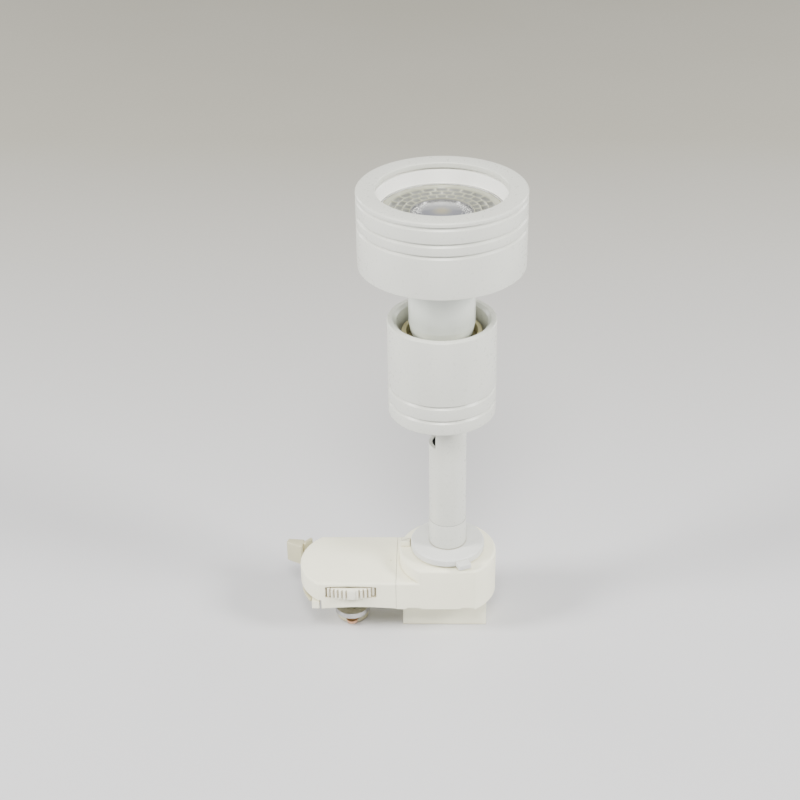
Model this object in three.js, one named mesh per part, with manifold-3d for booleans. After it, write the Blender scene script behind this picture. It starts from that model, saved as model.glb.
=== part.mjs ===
// Track spotlight: a GU10 lamp in a ring and cup, on a stem that swivels on a 3-circuit track adapter.
// Millimetres, +Z up. The origin is on the stem's swivel axis, in the plane where the adapter seats on its
// track. +X runs along the track, away from the locking lever, and what is below z = 0 is inside the slot.
import * as THREE from "three";
import { mergeVertices } from "three/addons/utils/BufferGeometryUtils.js";
import Module from "manifold-3d";

const wasm = await Module();
wasm.setup();

// Driving dimensions
const GAP = 0.3; // between neighbouring pieces
const FINE = 40; // sides of the large round pieces
const MEDIUM = 20;
const COARSE = 12;
const SMALL = 8;

const ADAPTER_HALF_WIDTH = 18;
const HOUSING_WALL = 1.8;
const COVER_TOP = 14.2;
const COVER_END_RADIUS = 23;
const COLLAR_RADIUS = 21.7;
const COLLAR_TOP = 21;
const SEAM_X = -23; // between the cover and the housing
const EDGE_ROUNDING = 1;
const INSERT_HALF_WIDTH = 7.8;
const INSERT_BOTTOM = -16.5;

const SELECTOR_X = -43.6; // the common axis of the phase selector and the locking lever
const WHEEL_RADIUS = 20.4;
const WHEEL_RIBS = 36;
const WHEEL_BOTTOM = 6.9;
const WHEEL_TOP = 11.6;
const WHEEL_SLOT_BOTTOM = 6.4;
const WHEEL_SLOT_TOP = 12.1;
const WHEEL_SLOT_HALF_LENGTH = 11.4;
const ROTOR_RADIUS = 4.2;

const LEVER_BOTTOM = 0.3;
const LEVER_TOP = 4.6;
const LEVER_RADIUS = 22.6;
const LEVER_RIM_TOP = 2; // above it the lever's edge is set back
const LEVER_SETBACK = 1.2;
const LEVER_TUBE_RADIUS = 6;
const HANDLE_BOTTOM = 1.8;
const HANDLE_TOP = 12;

const DISC_RADIUS = 16.4;
const DISC_BOTTOM = 22.3;
const DISC_TOP = 25.7;
const STEM_RADIUS = 8;
const STEM_BORE_RADIUS = 6.6;
const STEM_BOTTOM = 26;
const STEM_JOINT = 38; // parting line between the stem's base and its tube
const STEM_TOP = 90.6;
const STEM_SLOT_HALF_WIDTH = 4.4;
const STEM_SLOT_BOTTOM = 77;

const TILT_Z = 82;
const ARM_RADIUS = 4.1;
const PIVOT_PIN_RADIUS = 1.5;

const LAMP_X = -2.4; // the lamp's axis stands a little off the stem's axis
const CUP_RADIUS = 22.5;
const CUP_BORE_RADIUS = 19.1;
const CUP_BOTTOM = 94.4;
const CUP_TOP = 137.7;
const CUP_FLOOR = 3;

const HOLDER_RADIUS = 16.8;
const HOLDER_RECESS_RADIUS = 14.8;
const HOLDER_BOTTOM = 113.5;
const HOLDER_TOP = 135;
const HOLDER_SEAT = 127.5; // floor of the recess that the lamp's base stands in
const HOLDER_FLOOR_BOTTOM = 123;
const CONTACT_SPACING = 10; // GU10: the distance between the lamp's two pins

const NECK_RADIUS = 13.8;
const NECK_BOTTOM = 128;
const LAMP_FRONT_RADIUS = 25;
const LENS_TOP = 186.6;

const RING_RADIUS = 34.3;
const RING_BORE_RADIUS = 31.2;
const RING_BOTTOM = 162.8;
const RING_TOP = 195;
const RING_PARTING = 193.3; // parting line under the bezel's lip
const BEZEL_OPENING_RADIUS = 26.6;
const GROOVE_WIDTH = 1.2;
const GROOVE_DEPTH = 0.7;

// Each finish: colour, roughness and metalness
const FINISHES = {
  lamp_white: [0xd6d7d2, 0.5, 0],
  adapter_white: [0xe2e1d8, 0.45, 0],
  selector_ivory: [0xe0dcc8, 0.45, 0],
  disc_white: [0xdadcdb, 0.45, 0],
  holder_cream: [0xd8cfae, 0.6, 0],
  neck_white: [0xe0e4e4, 0.25, 0],
  clear_lens: [0xdfe3ea, 0.1, 0],
  led_yellow: [0xd8c26a, 0.5, 0],
  board_green: [0x3b6b48, 0.6, 0],
  aluminium: [0xb9bcc0, 0.35, 1],
  steel: [0xa9abae, 0.3, 1],
  copper: [0xb87345, 0.35, 1],
  brass: [0xc2a25c, 0.3, 1],
  wire_brown: [0x6a4330, 0.55, 0],
  wire_blue: [0x3a5f94, 0.55, 0],
  wire_earth: [0x8fa33c, 0.55, 0],
  cable_white: [0xd8d8d2, 0.55, 0],
};

const spotlight = new THREE.Group();

function addBody(x, z) {
  const group = new THREE.Group();
  group.position.set(x, 0, z);
  spotlight.add(group);
  return group;
}

// The bodies that move against each other, each with its origin where its joint is
const adapter = addBody(0, 0);
const selector = addBody(SELECTOR_X, 0);
const lever = addBody(SELECTOR_X, 0);
const stem = addBody(0, 0);
const head = addBody(0, TILT_Z);
const lamp = addBody(LAMP_X, 0);

// Solids
function solidOf(geometry) {
  const bare = geometry.index ? geometry.toNonIndexed() : geometry.clone();
  bare.deleteAttribute("normal");
  bare.deleteAttribute("uv");
  const merged = mergeVertices(bare, 1e-4);
  return new wasm.Manifold(
    new wasm.Mesh({
      numProp: 3,
      vertProperties: merged.getAttribute("position").array,
      triVerts: new Uint32Array(merged.index.array),
    }),
  );
}

function geometryOf(solid) {
  const mesh = solid.getMesh();
  const geometry = new THREE.BufferGeometry();
  geometry.setAttribute("position", new THREE.BufferAttribute(new Float32Array(mesh.vertProperties), 3));
  geometry.setIndex(new THREE.BufferAttribute(new Uint32Array(mesh.triVerts), 1));
  geometry.computeVertexNormals();
  return geometry;
}

function joined(first, ...others) {
  return others.reduce((whole, other) => whole.add(other), first);
}

function cut(first, ...others) {
  return others.reduce((rest, other) => rest.subtract(other), first);
}

function addPart(group, name, solid, finish) {
  const [color, roughness, metalness] = FINISHES[finish];
  const material = new THREE.MeshStandardMaterial({ color, roughness, metalness });
  const mesh = new THREE.Mesh(geometryOf(solid), material);
  mesh.name = name;
  group.add(mesh);
}

function block(x0, x1, y0, y1, z0, z1) {
  const geometry = new THREE.BoxGeometry(x1 - x0, y1 - y0, z1 - z0);
  geometry.translate((x0 + x1) / 2, (y0 + y1) / 2, (z0 + z1) / 2);
  return solidOf(geometry);
}

// A closed outline of [radius, height] points turned about the Z axis, the outer side running upwards
function turned(outline, sides = FINE) {
  const points = [...outline, outline[0]].map(([radius, height]) => new THREE.Vector2(radius, height));
  const geometry = new THREE.LatheGeometry(points, sides);
  geometry.rotateX(Math.PI / 2);
  return solidOf(geometry);
}

function rod(radius, z0, z1, sides = COARSE) {
  const geometry = new THREE.CylinderGeometry(radius, radius, z1 - z0, sides);
  geometry.rotateX(Math.PI / 2);
  geometry.translate(0, 0, (z0 + z1) / 2);
  return solidOf(geometry);
}

function tube(inner, outer, z0, z1, sides = MEDIUM) {
  return turned([[inner, z0], [outer, z0], [outer, z1], [inner, z1]], sides);
}

// A rod that lies along Y, through the point (x, z)
function crossRod(radius, y0, y1, x, z, sides = COARSE) {
  return rod(radius, y0, y1, sides).rotate([-90, 0, 0]).translate([x, 0, z]);
}

function prism(shape, z0, z1, sides = MEDIUM) {
  const geometry = new THREE.ExtrudeGeometry(shape, {
    depth: z1 - z0,
    bevelEnabled: false,
    curveSegments: sides,
  });
  geometry.translate(0, 0, z0);
  return solidOf(geometry);
}

// A prism from z = 0 whose upper edges are rounded
function roundedPrism(shape, height, rounding, sides) {
  const below = 2 * rounding;
  const geometry = new THREE.ExtrudeGeometry(shape, {
    depth: height + below - 2 * rounding,
    bevelThickness: rounding,
    bevelSize: rounding,
    bevelOffset: -rounding,
    bevelSegments: 2,
    curveSegments: sides,
  });
  geometry.translate(0, 0, rounding - below);
  const reach = 100;
  return cut(solidOf(geometry), block(-reach, reach, -reach, reach, -reach, 0));
}

function hexagon(acrossFlats) {
  const shape = new THREE.Shape();
  const corner = acrossFlats / Math.sqrt(3);
  for (let i = 0; i < 6; i += 1) {
    const angle = (i * Math.PI) / 3;
    const x = corner * Math.cos(angle);
    const y = corner * Math.sin(angle);
    if (i === 0) shape.moveTo(x, y);
    else shape.lineTo(x, y);
  }
  shape.closePath();
  return shape;
}

// A stretch of a flat ring, from one angle to another in degrees
function ringSector(inner, outer, from, to) {
  const a = THREE.MathUtils.degToRad(from);
  const b = THREE.MathUtils.degToRad(to);
  const shape = new THREE.Shape();
  shape.absarc(0, 0, outer, a, b, false);
  shape.absarc(0, 0, inner, b, a, true);
  shape.closePath();
  return shape;
}

function polygon(points) {
  return new THREE.Shape(points.map(([x, y]) => new THREE.Vector2(x, y)));
}

// A round screw that points up from its head at headBottom
function screw(x, y, headBottom, headHeight, headRadius, shankRadius, shankTop) {
  const slotWidth = 0.7;
  const slotDepth = headHeight * 0.45;
  const round = joined(
    rod(headRadius, headBottom, headBottom + headHeight, COARSE),
    rod(shankRadius, headBottom + headHeight / 2, shankTop, SMALL),
  );
  const half = slotWidth / 2;
  const slot = block(-headRadius, headRadius, -half, half, headBottom - 1, headBottom + slotDepth);
  return cut(round, slot).translate([x, y, 0]);
}

// The cover's outline, or the same outline drawn in by an inset, in the adapter's own axes
function coverOutline(inset, rightEnd) {
  const radius = COVER_END_RADIUS - inset;
  const halfWidth = ADAPTER_HALF_WIDTH - inset;
  const corner = Math.asin(halfWidth / radius);
  const shape = new THREE.Shape();
  shape.moveTo(rightEnd, -halfWidth);
  shape.lineTo(rightEnd, halfWidth);
  shape.absarc(SELECTOR_X, 0, radius, Math.PI - corner, Math.PI + corner, false);
  shape.closePath();
  return shape;
}

// The collar: a circle about the stem with its front and back cut flat
function collarOutline(inset) {
  const radius = COLLAR_RADIUS - inset;
  const halfWidth = ADAPTER_HALF_WIDTH - inset;
  const corner = Math.asin(halfWidth / radius);
  const shape = new THREE.Shape();
  shape.absarc(0, 0, radius, -corner, corner, false);
  shape.absarc(0, 0, radius, Math.PI - corner, Math.PI + corner, false);
  shape.closePath();
  return shape;
}

// The housing's low block under the collar: square at the seam, round at the right end
function lowOutline(inset, leftEnd) {
  const radius = COLLAR_RADIUS - inset;
  const halfWidth = ADAPTER_HALF_WIDTH - inset;
  const corner = Math.asin(halfWidth / radius);
  const shape = new THREE.Shape();
  shape.moveTo(leftEnd, halfWidth);
  shape.lineTo(leftEnd, -halfWidth);
  shape.absarc(0, 0, radius, -corner, corner, false);
  shape.closePath();
  return shape;
}

// Adapter
const COVER_ROOF = COVER_TOP - HOUSING_WALL;
const COLLAR_ROOF = 17.4;
const NIPPLE_RADIUS = 4.8;
const BOSS = { x: -25.4, y: 14.2, radius: 2, hole: 1.3, bottom: 6.7 };
const HOUSING_BOSS = { x: 13, y: 10.6, radius: 2.3, hole: 1.3, bottom: 3.3 };
const PLATE_TOP = 3;
const FOOT_TAB = { x0: -60.7, x1: -57.4, y0: -17.6, y1: -13.3, top: 3.6 };

// Fills the rounding where the cover and the housing meet, so that both are square there
function seamBlock(x0, x1) {
  return block(x0, x1, -ADAPTER_HALF_WIDTH, ADAPTER_HALF_WIDTH, 0, COVER_TOP - EDGE_ROUNDING);
}

function makeHousing() {
  const seam = SEAM_X + 0.2;
  const outer = joined(
    roundedPrism(lowOutline(0, seam), COVER_TOP, EDGE_ROUNDING, FINE / 4),
    roundedPrism(collarOutline(0), COLLAR_TOP, EDGE_ROUNDING, FINE / 4),
  );
  const squareSeam = seamBlock(seam, seam + 4);
  const hollow = joined(
    prism(lowOutline(HOUSING_WALL, seam + HOUSING_WALL), -1, COVER_ROOF, FINE / 4),
    prism(collarOutline(HOUSING_WALL), -1, COLLAR_ROOF, FINE / 4),
  );
  const bore = rod(NIPPLE_RADIUS + 0.1, COLLAR_ROOF - 1, COLLAR_TOP + 1, MEDIUM);
  const wireWindow = block(seam - 1, seam + 3, -3, 3, 3, 5.4);
  let shell = cut(joined(outer, squareSeam), hollow, bore, wireWindow);
  for (const side of [-1, 1]) {
    shell = joined(shell, housingBoss(side));
    for (const [from, to] of [[-18.2, -12], [6, 11.8]]) {
      const castellation = block(from, to, -2, 2, -1, 0.8);
      shell = cut(shell, castellation.translate([0, side * (ADAPTER_HALF_WIDTH - 1), 0]));
    }
  }
  const stopTab = prism(ringSector(16.9, COLLAR_RADIUS - 0.5, 168.5, 178.5), COLLAR_TOP - 0.5, 23.9, 6);
  return joined(shell, stopTab);
}

function housingBoss(side) {
  const { x, y, radius, hole, bottom } = HOUSING_BOSS;
  const post = cut(rod(radius, bottom, COLLAR_ROOF + 0.2), rod(hole, bottom - 1, COLLAR_ROOF - 3, SMALL));
  return post.translate([x, side * y, 0]);
}

function makeCover() {
  const end = SEAM_X - 0.1;
  const outer = roundedPrism(coverOutline(0, end), COVER_TOP, EDGE_ROUNDING, FINE / 2);
  const squareSeam = seamBlock(end - 4, end);
  const hollow = prism(coverOutline(HOUSING_WALL, end + 1), -1, COVER_ROOF, FINE / 2);
  const slots = block(
    SELECTOR_X - WHEEL_SLOT_HALF_LENGTH,
    SELECTOR_X + WHEEL_SLOT_HALF_LENGTH,
    -ADAPTER_HALF_WIDTH - 1,
    ADAPTER_HALF_WIDTH + 1,
    WHEEL_SLOT_BOTTOM,
    WHEEL_SLOT_TOP,
  );
  const wheelPocket = rod(WHEEL_RADIUS + 0.4, WHEEL_SLOT_BOTTOM, WHEEL_SLOT_TOP, FINE);
  // The skirt is cut away round the left end and along the back, where the lever sweeps, and at the foot tab
  const skirtBottom = LEVER_TOP + 0.4;
  const sweep = prism(ringSector(5, 40, 40, 219), -1, skirtBottom, 10);
  const tabNotch = block(-70, FOOT_TAB.x1 + 1, -ADAPTER_HALF_WIDTH - 1, -9, -1, skirtBottom);
  let shell = cut(
    joined(outer, squareSeam),
    hollow,
    slots,
    wheelPocket.translate([SELECTOR_X, 0, 0]),
    sweep.translate([SELECTOR_X, 0, 0]),
    tabNotch,
  );
  for (const side of [-1, 1]) {
    const { x, y, radius, hole, bottom } = BOSS;
    const post = cut(rod(radius, bottom, COVER_ROOF + 0.2), rod(hole, bottom - 1, COVER_ROOF - 1, SMALL));
    shell = joined(shell, post.translate([x, side * y, 0]));
  }
  const archRadius = 160;
  const archCrest = 1.15;
  const wallY = -ADAPTER_HALF_WIDTH;
  return cut(shell, crossRod(archRadius, wallY - 1, wallY + 3, -39, archCrest - archRadius, 200));
}

// The plate under the phase selector, with the foot tab that stands on the track beside the lever
function makeSelectorPlate() {
  const bottom = 5;
  const top = 6.4;
  const plate = prism(coverOutline(HOUSING_WALL + GAP, SEAM_X - 0.5), bottom, top, FINE / 2);
  const hubHole = rod(LEVER_TUBE_RADIUS + 0.4, bottom - 1, top + 1, MEDIUM).translate([SELECTOR_X, 0, 0]);
  const holes = [-1, 1].map((side) => {
    return rod(BOSS.hole, bottom - 1, top + 1, SMALL).translate([BOSS.x, side * BOSS.y, 0]);
  });
  const { x0, x1, y0, y1 } = FOOT_TAB;
  const tab = block(x0, x1, y0, y1, 0, FOOT_TAB.top);
  const riser = block(x0 + 1.6, x1, y1 - 0.4, y1 + 0.7, 2, bottom + 0.5);
  return joined(cut(plate, hubHole, ...holes), tab, riser);
}

function makeInsert() {
  const left = SEAM_X + 0.2 + HOUSING_WALL + GAP;
  const plate = prism(lowOutline(HOUSING_WALL + GAP, left), LEVER_BOTTOM, PLATE_TOP, FINE / 4);
  const width = INSERT_HALF_WIDTH;
  const right = 17.6;
  const wall = 2;
  const tongue = block(left + 0.5, right, -width, width, INSERT_BOTTOM, LEVER_BOTTOM + 0.5);
  const hollow = block(
    left + 0.5 + wall,
    right - wall,
    wall - width,
    width - wall,
    INSERT_BOTTOM + wall,
    PLATE_TOP + 1,
  );
  const neutralWindow = block(1.7, 10.3, 5, width + 1, -12.3, -9.1);
  let insert = cut(joined(plate, tongue), hollow, neutralWindow);
  for (const side of [-1, 1]) {
    const y = side * width;
    insert = cut(insert, block(-14.3, -5.7, y - 1.3, y + 1.3, -5.3, -2.1));
    const { x, hole } = HOUSING_BOSS;
    const screwHole = joined(rod(hole, 0, PLATE_TOP + 1, SMALL), rod(2.4, 0, 1.9, COARSE));
    insert = cut(insert, screwHole.translate([x, side * HOUSING_BOSS.y, 0]));
  }
  return insert;
}

function makeNeutralContact() {
  const blade = block(2, 10, 6.3, 10.2, -11.8, -10.8);
  const tail = block(4.4, 7.6, 3.2, 6.6, -11.8, -10.8);
  const riser = block(4.4, 7.6, 3.2, 4.2, -11.8, 1.5);
  return joined(blade, tail, riser);
}

function makeEarthContact(side) {
  const spring = block(-14, -6, INSERT_HALF_WIDTH - 0.9, INSERT_HALF_WIDTH + 0.5, -5, -2.4);
  const dimple = crossRod(1.6, INSERT_HALF_WIDTH, INSERT_HALF_WIDTH + 1.3, -10, -3.7);
  const contact = joined(spring, dimple);
  return side > 0 ? contact : contact.rotate([0, 0, 180]).translate([-20, 0, 0]);
}

const TERMINAL = { x0: -20, x1: -12.6, top: 11.4, bottom: 5.3, pitch: 6.2 };

function makeTerminalBlock() {
  const { x0, x1, top, bottom, pitch } = TERMINAL;
  let body = block(x0, x1, -9.4, 9.4, bottom, top);
  for (const i of [-1, 0, 1]) {
    const screwWell = rod(2, 8, top + 1).translate([(x0 + x1) / 2, i * pitch, 0]);
    const wireHole = block(-3, 3, -1.4, 1.4, -1.4, 1.4).translate([x1, i * pitch, 6.9]);
    body = cut(body, screwWell, wireHole);
  }
  return body;
}

function makeTerminalScrew(i) {
  const { x0, x1, pitch } = TERMINAL;
  const slot = block(-2, 2, -0.35, 0.35, 10.1, 12);
  return cut(rod(1.7, 8.3, 10.8), slot).translate([(x0 + x1) / 2, i * pitch, 0]);
}

// An insulated wire of eight sides along a smooth curve through its points
function wire(points, radius) {
  const path = new THREE.CatmullRomCurve3(points.map((point) => new THREE.Vector3(...point)));
  const section = new THREE.Shape();
  section.absarc(0, 0, radius, 0, 2 * Math.PI, false);
  const geometry = new THREE.ExtrudeGeometry(section, { steps: 8, curveSegments: 4, extrudePath: path });
  return solidOf(geometry);
}

function addAdapter() {
  addPart(adapter, "adapter_housing", makeHousing(), "adapter_white");
  addPart(adapter, "adapter_cover", makeCover(), "adapter_white");
  addPart(adapter, "selector_plate", makeSelectorPlate(), "adapter_white");
  addPart(adapter, "track_insert", makeInsert(), "adapter_white");
  addPart(adapter, "neutral_contact", makeNeutralContact(), "copper");
  addPart(adapter, "earth_contact_back", makeEarthContact(1), "steel");
  addPart(adapter, "earth_contact_front", makeEarthContact(-1), "steel");
  addPart(adapter, "terminal_block", makeTerminalBlock(), "selector_ivory");
  [-1, 0, 1].forEach((i) => addPart(adapter, `terminal_screw_${i + 2}`, makeTerminalScrew(i), "brass"));
  for (const [name, side] of [["front", -1], ["back", 1]]) {
    const coverScrew = screw(BOSS.x, side * BOSS.y, 3.2, 1.5, 2, 1, COVER_ROOF - 2);
    addPart(adapter, `cover_screw_${name}`, coverScrew, "steel");
    const housingScrew = screw(HOUSING_BOSS.x, side * HOUSING_BOSS.y, 0.7, 0.9, 2, 1, 10);
    addPart(adapter, `housing_screw_${name}`, housingScrew, "steel");
  }
  const wireEnd = TERMINAL.x1 - 1.6;
  const live = [
    [wireEnd, -TERMINAL.pitch, 6.9],
    [-9, -6.4, 6.7],
    [-9, -5.4, 5],
    [-11, -3.4, 4.1],
    [-20, -0.4, 4.1],
    [-30, 0, 3],
  ];
  const neutral = [[wireEnd, TERMINAL.pitch, 6.9], [-9, 6, 6.7], [-6, 4, 3], [-1, 3, -2], [3, 1.6, -6]];
  const earth = [[wireEnd, 0, 6.9], [-9, 0, 6.7], [-7.2, 0, 3], [-7.6, 0, -1], [-9, 0, -4.4]];
  addPart(adapter, "wire_live", wire(live, 0.8), "wire_brown");
  addPart(adapter, "wire_neutral", wire(neutral, 0.8), "wire_blue");
  addPart(adapter, "wire_earth", wire(earth, 0.8), "wire_earth");
}

// Phase selector, about its own axis
function makeSelectorWheel() {
  const outline = new THREE.Shape();
  const valley = WHEEL_RADIUS - 0.8;
  const rib = [[0, WHEEL_RADIUS], [0.5, WHEEL_RADIUS], [0.62, valley], [0.88, valley]];
  for (let i = 0; i < WHEEL_RIBS; i += 1) {
    for (const [share, radius] of rib) {
      const angle = ((i + share) * 2 * Math.PI) / WHEEL_RIBS;
      const x = radius * Math.cos(angle);
      const y = radius * Math.sin(angle);
      if (i === 0 && share === 0) outline.moveTo(x, y);
      else outline.lineTo(x, y);
    }
  }
  outline.closePath();
  const bore = new THREE.Path();
  bore.absarc(0, 0, ROTOR_RADIUS + GAP, 0, 2 * Math.PI, true);
  outline.holes.push(bore);
  const web = tube(8, 17.6, WHEEL_TOP - 1.4, WHEEL_TOP + 1, MEDIUM);
  const underside = tube(8, 17.6, WHEEL_BOTTOM - 1, WHEEL_BOTTOM + 1.2, MEDIUM);
  return cut(prism(outline, WHEEL_BOTTOM, WHEEL_TOP, 12), web, underside);
}

const ROTOR_FOOT_TOP = -10.8;

function makeSelectorRotor() {
  const shaft = rod(ROTOR_RADIUS, ROTOR_FOOT_TOP - 0.5, 10.3, MEDIUM);
  const foot = rod(7.2, INSERT_BOTTOM, ROTOR_FOOT_TOP, MEDIUM);
  const screwHole = rod(1.5, 4, 12, SMALL);
  const bladeSlot = block(-2.8, 2.8, -8, -2.4, -14.7, -12.7);
  return cut(joined(shaft, foot), screwHole, bladeSlot);
}

function makePhaseContact() {
  const blade = block(-2.5, 2.5, -8.2, -2.7, -14.3, -13.1);
  const tip = rod(2.5, -14.3, -13.1).translate([0, -8.2, 0]);
  return joined(blade, tip);
}

function makeSelectorScrew() {
  const head = rod(3.6, 10.65, 11.7, COARSE);
  const shank = rod(1.2, 5, 11, SMALL);
  const slot = block(-4, 4, -0.4, 0.4, 11.2, 12);
  return cut(joined(head, shank), slot);
}

function addSelector() {
  addPart(selector, "selector_wheel", makeSelectorWheel(), "selector_ivory");
  addPart(selector, "selector_rotor", makeSelectorRotor(), "selector_ivory");
  addPart(selector, "phase_contact", makePhaseContact(), "copper");
  addPart(selector, "selector_screw", makeSelectorScrew(), "steel");
}

// Locking lever, about the same axis. Its plate fills the cover's left end and its handle stands up outside.
function makeLever() {
  const hub = rod(12, LEVER_BOTTOM, LEVER_TOP, MEDIUM);
  const rim = prism(ringSector(11, LEVER_RADIUS, 150, 216), LEVER_BOTTOM, LEVER_RIM_TOP, 16);
  const setbackOutline = ringSector(11, LEVER_RADIUS - LEVER_SETBACK, 151, 215);
  const setback = prism(setbackOutline, LEVER_BOTTOM + 0.5, LEVER_TOP, 16);
  const arm = prism(ringSector(11, 28.4, 138, 152), HANDLE_BOTTOM, LEVER_TOP, 6);
  const wedge = polygon([[-31, 16.4], [-23.6, 12.3], [-22.7, 18.6], [-30.2, 19.2]]);
  const handle = prism(wedge, HANDLE_BOTTOM, HANDLE_TOP);
  const fin = prism(ringSector(27.2, 28.6, 134, 146), HANDLE_BOTTOM, HANDLE_TOP, 6);
  const shoulder = rod(7.6, -7, LEVER_BOTTOM + 0.5, MEDIUM);
  const sleeve = rod(LEVER_TUBE_RADIUS, -10.4, 6.6, MEDIUM);
  const bore = rod(ROTOR_RADIUS + GAP, -12, 8, MEDIUM);
  return cut(joined(hub, rim, setback, arm, handle, fin, shoulder, sleeve), bore);
}

function makeLockCam() {
  const halfLength = 12.6;
  const oval = new THREE.Shape();
  const endRadius = 7.7;
  oval.absarc(0, halfLength - endRadius, endRadius, 0, Math.PI, false);
  oval.absarc(0, endRadius - halfLength, endRadius, Math.PI, 2 * Math.PI, false);
  oval.closePath();
  const hole = rod(LEVER_TUBE_RADIUS + GAP, -12, -5, MEDIUM);
  return cut(prism(oval, -9.9, -7.3, 12), hole);
}

function addLever() {
  addPart(lever, "locking_lever", makeLever(), "selector_ivory");
  addPart(lever, "lock_cam", makeLockCam(), "steel");
}

// Stem, which swivels in the adapter
const NIPPLE_BOTTOM = 6;
const CABLE_RADIUS = 2.4;

function makeSwivelDisc() {
  const edge = 0.5;
  const disc = turned([
    [NIPPLE_RADIUS + GAP, DISC_BOTTOM],
    [DISC_RADIUS, DISC_BOTTOM],
    [DISC_RADIUS, DISC_TOP - edge],
    [DISC_RADIUS - edge, DISC_TOP],
    [NIPPLE_RADIUS + GAP, DISC_TOP],
  ]);
  const lug = block(15, 20.2, -3.3, 3.3, DISC_BOTTOM, DISC_TOP - 0.9).rotate([0, 0, -67.5]);
  return joined(disc, lug);
}

function makeStemBase() {
  return turned([
    [NIPPLE_RADIUS + GAP, STEM_BOTTOM],
    [STEM_RADIUS, STEM_BOTTOM],
    [STEM_RADIUS, STEM_JOINT - GAP / 2],
    [NIPPLE_RADIUS + GAP, STEM_JOINT - GAP / 2],
  ], MEDIUM);
}

function makeStemTube() {
  const body = tube(STEM_BORE_RADIUS, STEM_RADIUS, STEM_JOINT + GAP / 2, STEM_TOP);
  const half = STEM_SLOT_HALF_WIDTH;
  return cut(body, block(-STEM_RADIUS - 1, 0, -half, half, STEM_SLOT_BOTTOM, STEM_TOP + 1));
}

function makeNipple() {
  const bore = 3.2;
  const flange = 6.2;
  return turned([
    [bore, NIPPLE_BOTTOM],
    [NIPPLE_RADIUS, NIPPLE_BOTTOM],
    [NIPPLE_RADIUS, 44],
    [flange, 44],
    [flange, 48],
    [bore, 48],
  ], MEDIUM);
}

function makeNippleNut() {
  return cut(prism(hexagon(14), 9.4, 13.4), rod(NIPPLE_RADIUS + GAP, 8, 15, MEDIUM));
}

// A spring washer pressed into a shallow cone, which gives the swivel its friction
function makeSpringWasher() {
  const inner = NIPPLE_RADIUS + GAP;
  return turned([[inner, 13.8], [inner + 0.2, 13.7], [8.4, 15.9], [8.3, 16.4]], MEDIUM);
}

function makeFlatWasher() {
  return tube(NIPPLE_RADIUS + GAP, 9, 16.5, 17.2);
}

function makePivotFork() {
  const cheekHalf = 4;
  const cheekInner = 2.3;
  const base = tube(3.2, STEM_BORE_RADIUS - 0.2, 64, STEM_SLOT_BOTTOM);
  const barrel = rod(STEM_BORE_RADIUS - 0.2, STEM_SLOT_BOTTOM - 1, TILT_Z + cheekHalf, MEDIUM);
  const profile = joined(
    block(-cheekHalf, cheekHalf, -7, 7, STEM_SLOT_BOTTOM - 1, TILT_Z),
    crossRod(cheekHalf, -7, 7, 0, TILT_Z, MEDIUM),
  );
  const cheeks = cut(
    barrel.intersect(profile),
    block(-7, 7, -cheekInner, cheekInner, 60, 90),
    crossRod(PIVOT_PIN_RADIUS + 0.06, -8, 8, 0, TILT_Z, COARSE),
  );
  return joined(base, cheeks);
}

function addStem() {
  addPart(stem, "swivel_disc", makeSwivelDisc(), "disc_white");
  addPart(stem, "stem_base", makeStemBase(), "lamp_white");
  addPart(stem, "stem_tube", makeStemTube(), "lamp_white");
  addPart(stem, "threaded_nipple", makeNipple(), "steel");
  addPart(stem, "nipple_nut", makeNippleNut(), "steel");
  addPart(stem, "spring_washer", makeSpringWasher(), "steel");
  addPart(stem, "flat_washer", makeFlatWasher(), "steel");
  addPart(stem, "pivot_fork", makePivotFork(), "steel");
  addPart(stem, "pivot_pin", crossRod(PIVOT_PIN_RADIUS, -6.1, 6.1, 0, TILT_Z), "steel");
  addPart(stem, "stem_cable", rod(CABLE_RADIUS, 4, 74, COARSE), "cable_white");
}

// Head: the arm, the cup and the lampholder, which tilt together. Heights here count from the tilt axis.
const ARM_TOP = 21.6;
const ARM_BORE_RADIUS = 2.8;
const floorBottom = CUP_BOTTOM - TILT_Z;
const floorTop = floorBottom + CUP_FLOOR;
const holderBottom = HOLDER_BOTTOM - TILT_Z;
const BRACKET_LEG_X = 11;
const BRACKET_SCREW_X = 14.2;

function makeTiltArm() {
  const eyeHalf = 2;
  const eye = crossRod(ARM_RADIUS + 0.1, -eyeHalf, eyeHalf, 0, 0, MEDIUM);
  const neck = block(-ARM_RADIUS, ARM_RADIUS, -eyeHalf, eyeHalf, 0, 6);
  const shank = rod(ARM_RADIUS, 5, ARM_TOP, MEDIUM);
  const collar = rod(6.4, floorBottom - 1.2, floorBottom - GAP, MEDIUM);
  const pinHole = crossRod(PIVOT_PIN_RADIUS + 0.06, -5, 5, 0, 0, COARSE);
  const bore = rod(ARM_BORE_RADIUS, 3, ARM_TOP + 1, COARSE);
  return cut(joined(eye, neck, shank, collar), pinHole, bore);
}

function makeArmNut() {
  const bottom = floorTop + 1.9;
  return cut(prism(hexagon(12), bottom, bottom + 3.4), rod(ARM_RADIUS + GAP, bottom - 1, bottom + 5, MEDIUM));
}

// An outer wall with square grooves at the given heights, as a list of [radius, height] points going up
function groovedWall(radius, grooves) {
  return grooves.flatMap((z) => [
    [radius, z - GROOVE_WIDTH / 2],
    [radius - GROOVE_DEPTH, z - GROOVE_WIDTH / 4],
    [radius - GROOVE_DEPTH, z + GROOVE_WIDTH / 2],
    [radius, z + GROOVE_WIDTH / 2],
  ]);
}

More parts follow.
